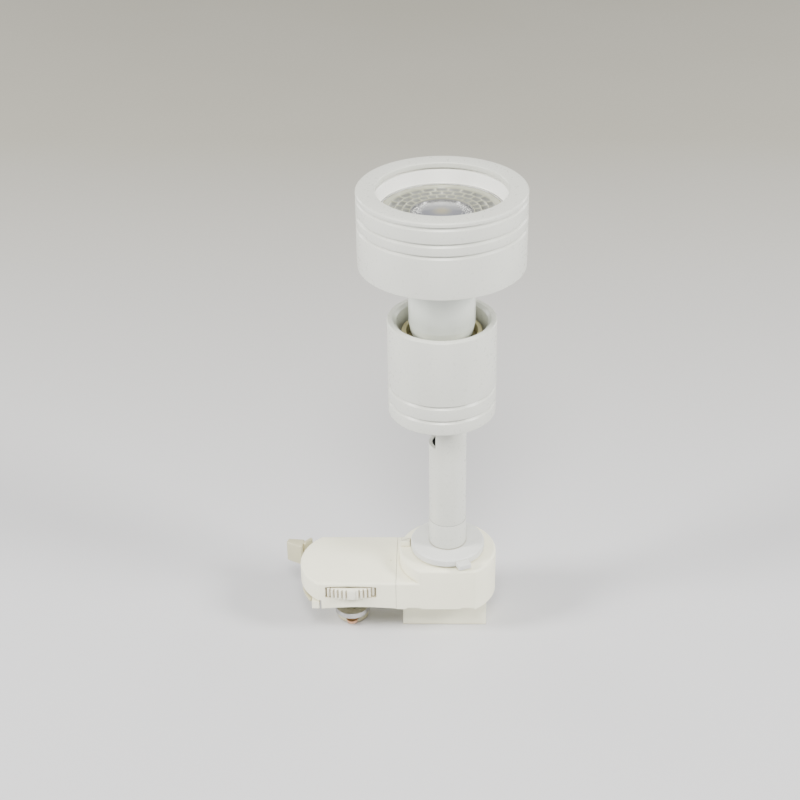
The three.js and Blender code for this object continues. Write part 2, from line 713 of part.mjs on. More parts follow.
function makeCup() {
  const bottom = floorBottom;
  const top = CUP_TOP - TILT_Z;
  const grooves = [bottom + 6, bottom + 12.8];
  const bowl = turned([
    [0, bottom],
    [CUP_RADIUS - 0.3, bottom],
    [CUP_RADIUS, bottom + 0.3],
    ...groovedWall(CUP_RADIUS, grooves),
    [CUP_RADIUS, top - 0.3],
    [CUP_RADIUS - 0.3, top],
    [CUP_BORE_RADIUS + 0.7, top],
    [CUP_BORE_RADIUS, top - 0.7],
    [CUP_BORE_RADIUS, floorTop],
    [0, floorTop],
  ]);
  const hole = rod(ARM_RADIUS + GAP, bottom - 1, floorTop + 1, MEDIUM);
  return cut(bowl.translate([LAMP_X, 0, 0]), hole);
}

function makeBracket() {
  const bottom = floorTop + GAP;
  const thickness = 1.2;
  const top = holderBottom - GAP;
  const base = block(-BRACKET_LEG_X, BRACKET_LEG_X, -6, 6, bottom, bottom + thickness);
  let bracket = base;
  for (const side of [-1, 1]) {
    const outer = side * BRACKET_LEG_X;
    const inner = outer - side * thickness;
    const tab = outer + side * 5.4;
    const leg = block(Math.min(outer, inner), Math.max(outer, inner), -6, 6, bottom, top);
    const foot = block(Math.min(inner, tab), Math.max(inner, tab), -6, 6, top - thickness, top);
    const hole = rod(1.8, top - 3, top + 1).translate([side * BRACKET_SCREW_X, 0, 0]);
    bracket = cut(joined(bracket, leg, foot), hole);
  }
  const armHole = rod(ARM_RADIUS + GAP, bottom - 1, bottom + 3, MEDIUM).translate([-LAMP_X, 0, 0]);
  return cut(bracket, armHole).translate([LAMP_X, 0, 0]);
}

// The slots that the lamp's pins turn in: narrow where a pin is locked, wide where it goes in and out
const LOCK_TURN = 26; // degrees from locked to free
const pinRadius = CONTACT_SPACING / 2;

function makePinSlot(start) {
  const half = 1.9;
  const lead = THREE.MathUtils.radToDeg(half / pinRadius);
  const from = HOLDER_FLOOR_BOTTOM - TILT_Z - 1;
  const to = HOLDER_SEAT - TILT_Z + 1;
  const track = ringSector(pinRadius - half, pinRadius + half, start - lead, start + LOCK_TURN);
  const slot = prism(track, from, to, 8);
  const angle = THREE.MathUtils.degToRad(start + LOCK_TURN);
  const entry = rod(2.9, from, to).translate([pinRadius * Math.cos(angle), pinRadius * Math.sin(angle), 0]);
  return joined(slot, entry);
}

function makeLampholder() {
  const top = HOLDER_TOP - TILT_Z;
  const seat = HOLDER_SEAT - TILT_Z;
  const body = turned([
    [0, holderBottom],
    [HOLDER_RADIUS, holderBottom],
    [HOLDER_RADIUS, top - 0.4],
    [HOLDER_RADIUS - 0.4, top],
    [HOLDER_RECESS_RADIUS, top],
    [HOLDER_RECESS_RADIUS, seat],
    [0, seat],
  ], FINE);
  const chamber = rod(9.4, holderBottom + 3, HOLDER_FLOOR_BOTTOM - TILT_Z, MEDIUM);
  const wireHoles = [-1, 1].map((side) => {
    return rod(1.4, holderBottom - 1, holderBottom + 4, SMALL).translate([0, side * 6, 0]);
  });
  const screwHoles = [-1, 1].map((side) => {
    return rod(1.6, holderBottom - 1, holderBottom + 6, SMALL).translate([side * BRACKET_SCREW_X, 0, 0]);
  });
  const holder = cut(body, chamber, makePinSlot(0), makePinSlot(180), ...wireHoles, ...screwHoles);
  return holder.translate([LAMP_X, 0, 0]);
}

function makeHolderContact(side) {
  const z = holderBottom + 3 + GAP;
  const leaf = block(2.4, 8.8, -2.4, 2.4, z, z + 0.8);
  const lip = block(8, 8.8, -2.4, 2.4, z, z + 4.6);
  const contact = joined(leaf, lip).rotate([0, 0, side > 0 ? 0 : 180]);
  return contact.translate([LAMP_X, 0, 0]);
}

function addHead() {
  addPart(head, "tilt_arm", makeTiltArm(), "steel");
  addPart(head, "arm_nut", makeArmNut(), "steel");
  addPart(head, "cup", makeCup(), "lamp_white");
  addPart(head, "holder_bracket", makeBracket(), "steel");
  addPart(head, "lampholder", makeLampholder(), "holder_cream");
  for (const [name, side] of [["left", -1], ["right", 1]]) {
    addPart(head, `holder_contact_${name}`, makeHolderContact(side), "copper");
    const x = LAMP_X + side * BRACKET_SCREW_X;
    const bracketScrew = screw(x, 0, holderBottom - GAP - 1.2 - GAP - 1.6, 1.6, 2.2, 1.2, holderBottom + 5);
    addPart(head, `bracket_screw_${name}`, bracketScrew, "steel");
  }
  for (const [name, side, finish] of [["live", -1, "wire_brown"], ["neutral", 1, "wire_blue"]]) {
    const route = [
      [0, side * 1.3, 8],
      [0, side * 1.3, ARM_TOP],
      [-0.6, side * 3.6, ARM_TOP + 4],
      [LAMP_X, side * 6, holderBottom - 3],
      [LAMP_X, side * 6, holderBottom + 2.6],
    ];
    addPart(head, `holder_wire_${name}`, wire(route, 0.8), finish);
  }
}

// Lamp: the GU10 lamp with the ring that sits on its front, which turn together to lock the pins
function makeRing() {
  const grooves = [RING_TOP - 14.4, RING_TOP - 9.4];
  return turned([
    [NECK_RADIUS + 0.6, RING_BOTTOM],
    [RING_RADIUS, RING_BOTTOM],
    ...groovedWall(RING_RADIUS, grooves),
    [RING_RADIUS, RING_PARTING - GAP],
    [RING_BORE_RADIUS, RING_PARTING - GAP],
    [RING_BORE_RADIUS, RING_BOTTOM + 2.4],
    [NECK_RADIUS + 0.6, RING_BOTTOM + 2.4],
  ]);
}

function makeBezel() {
  const skirtOuter = RING_BORE_RADIUS - GAP;
  return turned([
    [BEZEL_OPENING_RADIUS, RING_TOP - 1.9],
    [skirtOuter - 1.6, RING_TOP - 1.9],
    [skirtOuter - 1.6, RING_TOP - 8],
    [skirtOuter, RING_TOP - 8],
    [skirtOuter, RING_PARTING],
    [RING_RADIUS, RING_PARTING],
    [RING_RADIUS, RING_TOP - 0.4],
    [RING_RADIUS - 0.4, RING_TOP],
    [BEZEL_OPENING_RADIUS + 0.2, RING_TOP],
    [BEZEL_OPENING_RADIUS, RING_TOP - 0.2],
  ]);
}

function makeSleeve() {
  const top = RING_TOP - 2.7;
  const inner = BEZEL_OPENING_RADIUS;
  return turned([
    [LAMP_FRONT_RADIUS + GAP, 179],
    [inner + 1.4, 179],
    [inner + 1.4, top],
    [inner, top],
    [inner - 0.7, LENS_TOP + GAP],
    [LAMP_FRONT_RADIUS + GAP, LENS_TOP + GAP],
  ]);
}

function makeLens() {
  return turned([
    [0, 183],
    [24.1, 183],
    [24.1, LENS_TOP],
    [12, LENS_TOP],
    [8, LENS_TOP - 0.7],
    [0, LENS_TOP - 1],
  ]);
}

function makeHeatSink() {
  return turned([
    [12.2, 158],
    [NECK_RADIUS - 0.9, 158],
    [NECK_RADIUS - 0.9, 165],
    [18, 168.6],
    [23.4, 176],
    [LAMP_FRONT_RADIUS, 180],
    [LAMP_FRONT_RADIUS, LENS_TOP - 0.1],
    [24.5, LENS_TOP - 0.1],
    [24.5, 182.6],
    [22.8, 180.4],
    [16.4, 171],
    [12.2, 171],
  ], MEDIUM);
}

function makeNeck() {
  return turned([
    [8.6, NECK_BOTTOM],
    [10.8, NECK_BOTTOM],
    [12.6, NECK_BOTTOM + 2],
    [NECK_RADIUS, 136.5],
    [NECK_RADIUS, 164.6],
    [NECK_RADIUS - 0.6, 165.2],
    [NECK_RADIUS - 0.6, 157.6],
    [11.4, 157.6],
    [11.4, 133],
    [8.6, 131],
  ]);
}

// The insulating end cap that carries the two pins
function makePinCap() {
  const pinHoles = [-1, 1].map((side) => rod(1.8, NECK_BOTTOM - 1, 134).translate([side * pinRadius, 0, 0]));
  return cut(rod(8.3, NECK_BOTTOM, 130.6, MEDIUM), ...pinHoles);
}

function makePin(side) {
  const pin = turned([
    [0, 119.4],
    [2.1, 119.4],
    [2.5, 119.8],
    [2.5, 121.4],
    [1.5, 121.6],
    [1.5, 133.4],
    [0, 133.4],
  ], COARSE);
  return pin.translate([side * pinRadius, 0, 0]);
}

function addLamp() {
  addPart(lamp, "ring_body", makeRing(), "lamp_white");
  addPart(lamp, "front_bezel", makeBezel(), "lamp_white");
  addPart(lamp, "baffle_sleeve", makeSleeve(), "lamp_white");
  addPart(lamp, "lamp_lens", makeLens(), "clear_lens");
  addPart(lamp, "lamp_heat_sink", makeHeatSink(), "aluminium");
  addPart(lamp, "lamp_neck", makeNeck(), "neck_white");
  addPart(lamp, "pin_cap", makePinCap(), "neck_white");
  addPart(lamp, "led_board", rod(16, 171.4, 172.8, MEDIUM), "aluminium");
  addPart(lamp, "led_chip", rod(5, 173.1, 174.1, COARSE), "led_yellow");
  addPart(lamp, "driver_board", block(-8.4, 8.4, -0.8, 0.8, 136, 168), "board_green");
  for (const [name, side] of [["left", -1], ["right", 1]]) {
    addPart(lamp, `lamp_pin_${name}`, makePin(side), "brass");
  }
}

addAdapter();
addSelector();
addLever();
addStem();
addHead();
addLamp();

export default spotlight;
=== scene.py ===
import math

import bmesh
import bpy
from mathutils import Matrix, Vector


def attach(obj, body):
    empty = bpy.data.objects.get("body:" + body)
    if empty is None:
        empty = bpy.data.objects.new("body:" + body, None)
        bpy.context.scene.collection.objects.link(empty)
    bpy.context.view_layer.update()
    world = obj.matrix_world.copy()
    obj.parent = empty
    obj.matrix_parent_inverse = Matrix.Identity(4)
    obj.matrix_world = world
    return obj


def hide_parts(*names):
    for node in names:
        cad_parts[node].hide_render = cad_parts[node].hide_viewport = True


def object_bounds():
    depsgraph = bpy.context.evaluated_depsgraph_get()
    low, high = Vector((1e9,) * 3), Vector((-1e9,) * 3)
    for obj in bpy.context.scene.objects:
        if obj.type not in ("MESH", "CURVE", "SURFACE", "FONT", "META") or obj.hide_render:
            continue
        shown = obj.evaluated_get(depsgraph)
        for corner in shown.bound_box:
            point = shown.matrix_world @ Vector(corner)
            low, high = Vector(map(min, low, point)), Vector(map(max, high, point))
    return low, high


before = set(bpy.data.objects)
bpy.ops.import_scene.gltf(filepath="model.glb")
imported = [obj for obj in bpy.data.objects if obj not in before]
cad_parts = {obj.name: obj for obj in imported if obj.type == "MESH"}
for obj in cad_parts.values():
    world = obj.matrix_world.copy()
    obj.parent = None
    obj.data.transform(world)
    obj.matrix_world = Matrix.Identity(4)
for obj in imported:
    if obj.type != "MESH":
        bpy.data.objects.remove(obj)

MM = 0.001
CAD_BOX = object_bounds()

# Places and sizes from the CAD
SELECTOR_X = -43.6
LAMP_X = -2.4
TILT_Z = 82
HALF_WIDTH = 18
COVER_TOP = 14.2
COVER_END_RADIUS = 23
COLLAR_RADIUS = 21.7
COLLAR_TOP = 21
WALL = 1.8

# Places and sizes of the pieces built here
HOUSING_SEAM = -22.88
COVER_SEAM = -23.02
WHEEL_TIP, WHEEL_VALLEY, WHEEL_RIBS = 20.4, 19.3, 66
CUP_RADIUS = 22.8
RING_RADIUS = 34.3
LENS_TOP, LENS_BOTTOM = 186.3, 183
LENS_RADIUS, RIM_INNER, DOME_RADIUS, CHIP_RADIUS = 25.2, 21.8, 12.8, 4.6
CELL_ROWS, CELLS = 3, 24
OLIVE_EDGE, DISH_START, DISH_DEPTH = 1.0, 23.5, 0.7

# The camera: angles in radians, place in millimetres, focal length for a sensor 36 mm wide
CAMERA_TURN = (0.03148, 0.53474, -0.01697)
CAMERA_PLACE = (-2.393, -567.814, 434.623)
FOCAL_LENGTH = 69.87

# Lights in metres and watts: place, size, power
LIGHT_TARGET = (0, 0, 0.1)
LIGHT_COLOR = (1, 0.99, 0.965)
LIGHTS = {
    "left": ((-1.35, -0.5, 1.0), 0.5, 40),
    "left_back": ((-1.2, 1.1, 0.6), 0.6, 7),
    "right": ((1.35, -0.5, 1.0), 0.5, 40),
    "right_back": ((1.2, 1.1, 0.6), 0.6, 7),
    "front": ((0, -0.9, 1.3), 0.5, 21),
}
WALL_LIGHT, CEILING_LIGHT = 0.16, 0.42

# The floor in metres: from its middle to its edges, and how far it lies below the track side of the object
FLOOR_REACH, FLOOR_GAP = 40, 0.0002


# Camera and light
def make_camera():
    yaw, pitch, roll = CAMERA_TURN
    forward = Vector((-math.sin(yaw) * math.cos(pitch), math.cos(yaw) * math.cos(pitch), -math.sin(pitch)))
    level = Vector((math.cos(yaw), math.sin(yaw), 0))
    upright = level.cross(forward)
    right = level * math.cos(roll) + upright * math.sin(roll)
    up = upright * math.cos(roll) - level * math.sin(roll)
    data = bpy.data.cameras.new("camera")
    data.lens = FOCAL_LENGTH
    data.sensor_width = 36
    data.clip_start = 0.01
    camera = bpy.data.objects.new("camera", data)
    turn = Matrix((right, up, -forward)).transposed().to_4x4()
    camera.matrix_world = Matrix.Translation(Vector(CAMERA_PLACE) * MM) @ turn
    bpy.context.scene.collection.objects.link(camera)
    bpy.context.scene.camera = camera


def make_area_light(name, location, size, power):
    data = bpy.data.lights.new(name, "AREA")
    data.shape = "DISK"
    data.size = size
    data.energy = power
    data.color = LIGHT_COLOR
    light = bpy.data.objects.new(name, data)
    light.location = location
    light.rotation_euler = (Vector(LIGHT_TARGET) - Vector(location)).to_track_quat("-Z", "Y").to_euler()
    light.visible_camera = False
    bpy.context.scene.collection.objects.link(light)


def make_world():
    """A studio whose walls are dim and whose ceiling is brighter."""
    world = bpy.data.worlds.new("studio")
    world.use_nodes = True
    tree = world.node_tree
    direction = tree.nodes.new("ShaderNodeTexCoord")
    split = tree.nodes.new("ShaderNodeSeparateXYZ")
    tree.links.new(direction.outputs["Generated"], split.inputs[0])
    level = tree.nodes.new("ShaderNodeMapRange")
    level.inputs["To Min"].default_value = WALL_LIGHT
    level.inputs["To Max"].default_value = CEILING_LIGHT
    tree.links.new(split.outputs["Z"], level.inputs["Value"])
    background = tree.nodes["Background"]
    background.inputs["Color"].default_value = (1.0, 0.995, 0.975, 1)
    tree.links.new(level.outputs["Result"], background.inputs["Strength"])
    bpy.context.scene.world = world


# Materials
class Nodes:
    """Adds and links the nodes of one material."""

    MIX_FACTOR, MIX_A, MIX_B, MIX_RESULT = 0, 6, 7, 2  # the sockets of a Mix node that mixes colours

    def __init__(self, name):
        self.material = bpy.data.materials.new(name)
        self.material.use_nodes = True
        self.tree = self.material.node_tree
        self.tree.nodes.clear()

    def add(self, kind, **settings):
        node = self.tree.nodes.new("ShaderNode" + kind)
        for key, value in settings.items():
            setattr(node, key, value)
        return node

    def link(self, source, target):
        self.tree.links.new(source, target)

    def coordinates(self, stretch=(1, 1, 1)):
        source = self.add("TexCoord").outputs["Object"]
        if stretch == (1, 1, 1):
            return source
        mapping = self.add("Mapping")
        mapping.inputs["Scale"].default_value = stretch
        self.link(source, mapping.inputs["Vector"])
        return mapping.outputs["Vector"]

    def noise(self, vector, scale, detail=3, roughness=0.5):
        node = self.add("TexNoise")
        node.inputs["Scale"].default_value = scale
        node.inputs["Detail"].default_value = detail
        node.inputs["Roughness"].default_value = roughness
        self.link(vector, node.inputs["Vector"])
        return node.outputs["Fac"]

    def spread(self, value, low, high, to_low=0.0, to_high=1.0):
        node = self.add("MapRange")
        limits = {"From Min": low, "From Max": high, "To Min": to_low, "To Max": to_high}
        for name, number in limits.items():
            node.inputs[name].default_value = number
        self.link(value, node.inputs["Value"])
        return node.outputs["Result"]

    def mix(self, factor, first, second):
        node = self.add("Mix", data_type="RGBA")
        self.link(factor, node.inputs[self.MIX_FACTOR])
        for socket, value in ((node.inputs[self.MIX_A], first), (node.inputs[self.MIX_B], second)):
            if isinstance(value, bpy.types.NodeSocket):
                self.link(value, socket)
            else:
                socket.default_value = (*value, 1)
        return node.outputs[self.MIX_RESULT]

    def painted_crease_shade(self, tone, shade_and_dust_tone, reach, low, high, strength):
        """The tone, changed towards the shade tone where the surface within reach is sheltered: painted
        shade in creases and hollows.
        """
        shelter = self.add("AmbientOcclusion", samples=6)
        shelter.inputs["Distance"].default_value = reach * MM
        return self.mix(self.spread(shelter.outputs["AO"], low, high, strength, 0), tone, shade_and_dust_tone)

    def soft_edges(self, radius):
        """The surface's normal with the edges rounded by a radius in millimetres."""
        node = self.add("Bevel", samples=4)
        node.inputs["Radius"].default_value = radius * MM
        return node.outputs["Normal"]

    def bump(self, height, strength, distance, normal=None):
        """A bumped normal. The distance is in millimetres."""
        node = self.add("Bump")
        node.inputs["Strength"].default_value = strength
        node.inputs["Distance"].default_value = distance * MM
        self.link(height, node.inputs["Height"])
        if normal is not None:
            self.link(normal, node.inputs["Normal"])
        return node.outputs["Normal"]

    def finish(self, color, roughness, normal, **constants):
        shader = self.add("BsdfPrincipled")
        self.link(color, shader.inputs["Base Color"])
        self.link(roughness, shader.inputs["Roughness"])
        self.link(normal, shader.inputs["Normal"])
        for name, value in constants.items():
            shader.inputs[name.replace("_", " ")].default_value = value
        output = self.add("OutputMaterial")
        self.link(shader.outputs["BSDF"], output.inputs["Surface"])
        return self.material


def moulded(name, color, shade_and_dust_tone, roughness=0.42, grain=0.12, grain_scale=5200, reach=2.6, shine=0.5):
    """Moulded plastic, ceramic or black oxide: flow marks, a fine grain, dust specks, painted shade in
    creases, softened edges.
    """
    nodes = Nodes(name)
    at = nodes.coordinates()
    flow = nodes.noise(at, 55, 3)
    tone = nodes.mix(nodes.spread(flow, 0.35, 0.65), color, [c * 0.965 for c in color])
    # Dust specks, in a darker copy of the shade tone
    specks = nodes.spread(nodes.noise(at, 1300, 2), 0.70, 0.78, 0, 0.18)
    tone = nodes.mix(specks, tone, [c * 0.8 for c in shade_and_dust_tone])
    # Painted shade: the tone turns towards the shade tone in creases and hollows
    tone = nodes.painted_crease_shade(tone, shade_and_dust_tone, reach, 0.15, 0.85, 0.75)
    rough = nodes.spread(nodes.noise(at, 420, 4), 0.3, 0.7, roughness - 0.05, roughness + 0.06)
    normal = nodes.bump(nodes.noise(at, grain_scale, 2), grain, 0.05, nodes.soft_edges(0.25))
    return nodes.finish(tone, rough, normal, Specular_IOR_Level=shine)


def coated(name, color, shade_and_dust_tone):
    """Powder coat on turned aluminium: an even orange-peel skin with a faint sheen, and shade painted into
    its grooves and creases.
    """
    nodes = Nodes(name)
    at = nodes.coordinates()
    tone = nodes.mix(nodes.spread(nodes.noise(at, 38, 2), 0.35, 0.65), color, [c * 0.97 for c in color])
    specks = nodes.spread(nodes.noise(at, 900, 2), 0.74, 0.8, 0, 0.22)
    tone = nodes.mix(specks, tone, [c * 0.7 for c in color])
    # Painted shade in the grooves and creases
    tone = nodes.painted_crease_shade(tone, shade_and_dust_tone, 0.9, 0.3, 0.75, 0.8)
    rough = nodes.spread(nodes.noise(at, 700, 3), 0.3, 0.7, 0.26, 0.35)
    peel = nodes.noise(at, 1500, 3, 0.6)
    normal = nodes.bump(peel, 0.16, 0.07, nodes.soft_edges(0.1))
    return nodes.finish(tone, rough, normal)


def metal(name, color, tarnish, stretch=(1, 1, 1), roughness=0.32):
    """Bare metal with fine drawn marks, patches of tarnish and softened edges."""
    nodes = Nodes(name)
    marks = nodes.noise(nodes.coordinates(stretch), 900, 4, 0.6)
    at = nodes.coordinates()
    stain = nodes.spread(nodes.noise(at, 160, 4), 0.42, 0.68)
    tone = nodes.mix(stain, color, tarnish)
    tone = nodes.mix(nodes.spread(marks, 0.3, 0.7, 0, 0.25), tone, [c * 0.6 for c in color])
    rough = nodes.spread(marks, 0.3, 0.7, roughness - 0.1, roughness + 0.12)
    normal = nodes.bump(marks, 0.15, 0.03, nodes.soft_edges(0.15))
    return nodes.finish(tone, rough, normal, Metallic=1.0)


def insulated(name, color):
    """Sheath of a wire or cable: soft plastic with a slight sheen."""
    nodes = Nodes(name)
    at = nodes.coordinates()
    tone = nodes.mix(nodes.spread(nodes.noise(at, 240, 3), 0.35, 0.65), color, [c * 0.86 for c in color])
    rough = nodes.spread(nodes.noise(at, 800, 3), 0.3, 0.7, 0.4, 0.6)
    normal = nodes.bump(nodes.noise(at, 3200, 2), 0.15, 0.04)
    return nodes.finish(tone, rough, normal)


def circuit_board(name):
    """Green board with paler copper tracks under its lacquer."""
    nodes = Nodes(name)
    at = nodes.coordinates()
    tracks = nodes.add("TexBrick")
    tracks.inputs["Scale"].default_value = 240
    tracks.inputs["Mortar Size"].default_value = 0.06
    tracks.inputs["Color1"].default_value = (0.03, 0.12, 0.06, 1)
    tracks.inputs["Color2"].default_value = (0.04, 0.15, 0.07, 1)
    tracks.inputs["Mortar"].default_value = (0.12, 0.3, 0.14, 1)
    nodes.link(at, tracks.inputs["Vector"])
    rough = nodes.spread(nodes.noise(at, 900, 2), 0.3, 0.7, 0.25, 0.4)
    normal = nodes.bump(tracks.outputs["Fac"], 0.2, 0.03)
    return nodes.finish(tracks.outputs["Color"], rough, normal)


def phosphor(name):
    """The yellow cover of the LED chips."""
    nodes = Nodes(name)
    at = nodes.coordinates()
    tone = nodes.mix(nodes.spread(nodes.noise(at, 900, 3), 0.4, 0.6), (0.85, 0.62, 0.16), (0.9, 0.7, 0.25))
    rough = nodes.spread(nodes.noise(at, 2000, 2), 0.3, 0.7, 0.35, 0.55)
    return nodes.finish(tone, rough, nodes.bump(nodes.noise(at, 4000, 2), 0.2, 0.05))


def lens_material(name):
    """Moulded optic: a frosted rim with an olive edge, rows of cells with cream edges, and a clear dome over
    the chip with painted white glints. The mesh carries how much of each mark a point has."""
    nodes = Nodes(name)
    at = nodes.coordinates()
    edge, middle, outer, chip, painted_glint = (
        nodes.add("Attribute", attribute_name=key).outputs["Fac"] for key in LENS_MARKS
    )
    cloud = nodes.spread(nodes.noise(at, 170, 3), 0.35, 0.65)
    frosted = nodes.mix(cloud, (0.36, 0.365, 0.27), (0.29, 0.295, 0.215))
    cell = nodes.mix(cloud, (0.175, 0.178, 0.16), (0.225, 0.228, 0.205))
    tone = nodes.mix(edge, cell, nodes.mix(outer, frosted, (0.20, 0.19, 0.08)))
    clear = nodes.mix(outer, (0.19, 0.195, 0.22), (0.13, 0.13, 0.14))
    clear = nodes.mix(chip, clear, (0.31, 0.29, 0.215))
    # Painted glints: white spots on the dome, strongest at its left and right
    glints = nodes.add("TexVoronoi", feature="F1")
    glints.inputs["Scale"].default_value = 1300
    nodes.link(at, glints.inputs["Vector"])
    spots = nodes.spread(glints.outputs["Distance"], 0.5, 0.3)
    lit = nodes.add("Math", operation="MULTIPLY")
    nodes.link(spots, lit.inputs[0])
    nodes.link(painted_glint, lit.inputs[1])
    clear = nodes.mix(lit.outputs[0], clear, (1.0, 1.0, 1.0))
    tone = nodes.mix(middle, tone, clear)
    rough = nodes.spread(middle, 0, 1, 0.3, 0.14)
    height = nodes.mix(middle, (0.5, 0.5, 0.5), nodes.spread(glints.outputs["Distance"], 0, 1))
    normal = nodes.bump(height, 0.3, 0.12)
    return nodes.finish(tone, rough, normal, Coat_Weight=0.8, Coat_Roughness=0.08, IOR=1.49)


def floor_material(name):
    """Matt paper, pale near the object and a little darker and warmer behind it."""
    nodes = Nodes(name)
    at = nodes.coordinates()
    split = nodes.add("SeparateXYZ")
    nodes.link(at, split.inputs[0])
    back = nodes.spread(split.outputs["Y"], 0.05, 0.6)
    tone = nodes.mix(back, (0.61, 0.61, 0.625), (0.39, 0.375, 0.32))
    tone = nodes.mix(nodes.spread(nodes.noise(at, 6, 3), 0.3, 0.7, 0, 0.05), tone, (0.6, 0.6, 0.6))
    rough = nodes.spread(nodes.noise(at, 300, 2), 0.3, 0.7, 0.7, 0.85)
    return nodes.finish(tone, rough, nodes.bump(nodes.noise(at, 900, 3), 0.1, 0.1))


# Tones of the shade painted into creases, which the moulded finish also uses, darker, for its dust specks
IVORY_SHADE_AND_DUST = (0.40, 0.30, 0.10)
OLIVE_SHADE_AND_DUST = (0.30, 0.21, 0.06)
LENS_MARKS = ("cell_edge", "middle", "outer", "chip", "painted_glint")
MATERIALS = {
    "housing_plastic": moulded("adapter_plastic", (0.98, 0.96, 0.76), IVORY_SHADE_AND_DUST, reach=1.5),
    # Painted shade: the lever, rotor and terminal block are cream plastic like the adapter's, drawn darker
    # to stand for the shade on the lever's faces
    "selector_plastic": moulded("shaded_lever_plastic", (0.57, 0.54, 0.37), OLIVE_SHADE_AND_DUST, roughness=0.4, reach=2),
    "disc_plastic": moulded(
        "disc_plastic", (0.71, 0.72, 0.685), (0.34, 0.26, 0.06), roughness=0.45, reach=0.9
    ),
    # The coat's dark second tone is the painted shade in the grooves of cup and ring
    "white_coat": coated("powder_coat", (0.66, 0.67, 0.61), (0.12, 0.12, 0.11)),
    "holder_ceramic": moulded(
        "ceramic", (0.62, 0.56, 0.32), (0.26, 0.21, 0.09), roughness=0.55, grain=0.35, grain_scale=2600
    ),
    # Painted shadow: the 5 mm reach darkens the neck under the ring, and also near the cup below
    "neck_plastic": moulded(
        "neck_plastic", (0.70, 0.735, 0.68), (0.24, 0.25, 0.22), roughness=0.16, grain=0.04, reach=5
    ),
    "lens_plastic": lens_material("lens_plastic"),
    "led_phosphor": phosphor("led_phosphor"),
    "board": circuit_board("circuit_board"),
    "bare_aluminium": metal("aluminium", (0.72, 0.73, 0.75), (0.6, 0.6, 0.62), (1, 1, 8)),
    "steel": metal("steel", (0.60, 0.60, 0.61), (0.44, 0.43, 0.42), (1, 1, 10)),
    "copper": metal("copper_alloy", (0.78, 0.47, 0.3), (0.45, 0.27, 0.17), (10, 1, 1)),
    "brass": metal("brass", (0.80, 0.64, 0.32), (0.52, 0.4, 0.2)),
    "wire_brown": insulated("wire_brown", (0.16, 0.07, 0.04)),
    "wire_blue": insulated("wire_blue", (0.04, 0.10, 0.32)),
    "wire_earth": insulated("wire_earth", (0.30, 0.42, 0.04)),
    "cable_sheath": insulated("cable_sheath", (0.70, 0.70, 0.67)),
}

# Looks of single pieces that differ from their slot's
WHEEL_PLASTIC = moulded("wheel_plastic", (0.90, 0.88, 0.74), OLIVE_SHADE_AND_DUST, roughness=0.4, reach=1.4)
# Painted light: the sleeve's coat is drawn brighter than the other coated pieces, for the light falling on
# its inner wall
LIT_BAFFLE_COAT = coated("lit_baffle_coat", (0.90, 0.90, 0.855), (0.30, 0.28, 0.19))
BLACKENED_STEEL = moulded(
    "black_oxide", (0.012, 0.012, 0.013), (0.006, 0.006, 0.006), roughness=0.5, shine=0.2
)
BLACKENED = ("pivot_fork", "pivot_pin")

# The CAD nodes that stay, and the material slot of each
KEPT = {
    "housing_plastic": ["selector_plate", "track_insert"],
    "selector_plastic": ["terminal_block"],
    "steel": [
        "earth_contact_back", "earth_contact_front", "threaded_nipple", "nipple_nut", "spring_washer",
        "flat_washer", "pivot_fork", "pivot_pin", "arm_nut", "holder_bracket", "selector_screw",
        "bracket_screw_left", "bracket_screw_right",
    ],
    "copper": ["neutral_contact", "phase_contact", "holder_contact_left", "holder_contact_right"],
    "brass": [
        "terminal_screw_1", "terminal_screw_2", "terminal_screw_3", "lamp_pin_left", "lamp_pin_right",
    ],
    "wire_brown": ["wire_live", "holder_wire_live"],
    "wire_blue": ["wire_neutral", "holder_wire_neutral"],
    "wire_earth": ["wire_earth"],
    "cable_sheath": ["stem_cable"],
    "neck_plastic": ["pin_cap"],
    "bare_aluminium": ["lamp_heat_sink", "led_board"],
    "led_phosphor": ["led_chip"],
    "board": ["driver_board"],
}


def dress_kept_nodes():
    for slot, names in KEPT.items():
        for name in names:
            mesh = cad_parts[name].data
            mesh.materials.clear()
            mesh.materials.append(BLACKENED_STEEL if name in BLACKENED else MATERIALS[slot])
            mesh.set_sharp_from_angle(angle=math.radians(35))


# Mesh building
def softened(outline, radius, steps=3):
    """A closed outline with its corners rounded. A point's third number is that corner's own radius."""
    points = []
    count = len(outline)
    for i, (x, y, *own) in enumerate(outline):
        corner = Vector((x, y))
        before = Vector(outline[i - 1][:2]) - corner
        after = Vector(outline[(i + 1) % count][:2]) - corner
        size = own[0] if own else radius
        turn = before.angle(after) if before.length > 1e-6 and after.length > 1e-6 else math.pi
        if size <= 0 or turn > 3.05:
            points.append(corner)
            continue
        reach = min(size / math.tan(turn / 2), 0.45 * before.length, 0.45 * after.length)
        start, end = corner + before.normalized() * reach, corner + after.normalized() * reach
        for k in range(steps + 1):
            t = k / steps
            points.append(start * (1 - t) ** 2 + corner * (2 * t * (1 - t)) + end * t**2)
    return points


def solid(name, vertices, faces):
    mesh = bpy.data.meshes.new(name)
    mesh.from_pydata(vertices, [], faces)
    work = bmesh.new()
    work.from_mesh(mesh)
    bmesh.ops.remove_doubles(work, verts=work.verts, dist=1e-5)
    bmesh.ops.recalc_face_normals(work, faces=work.faces)
    work.to_mesh(mesh)
    work.free()
    made = bpy.data.objects.new(name, mesh)
    bpy.context.scene.collection.objects.link(made)
    return made


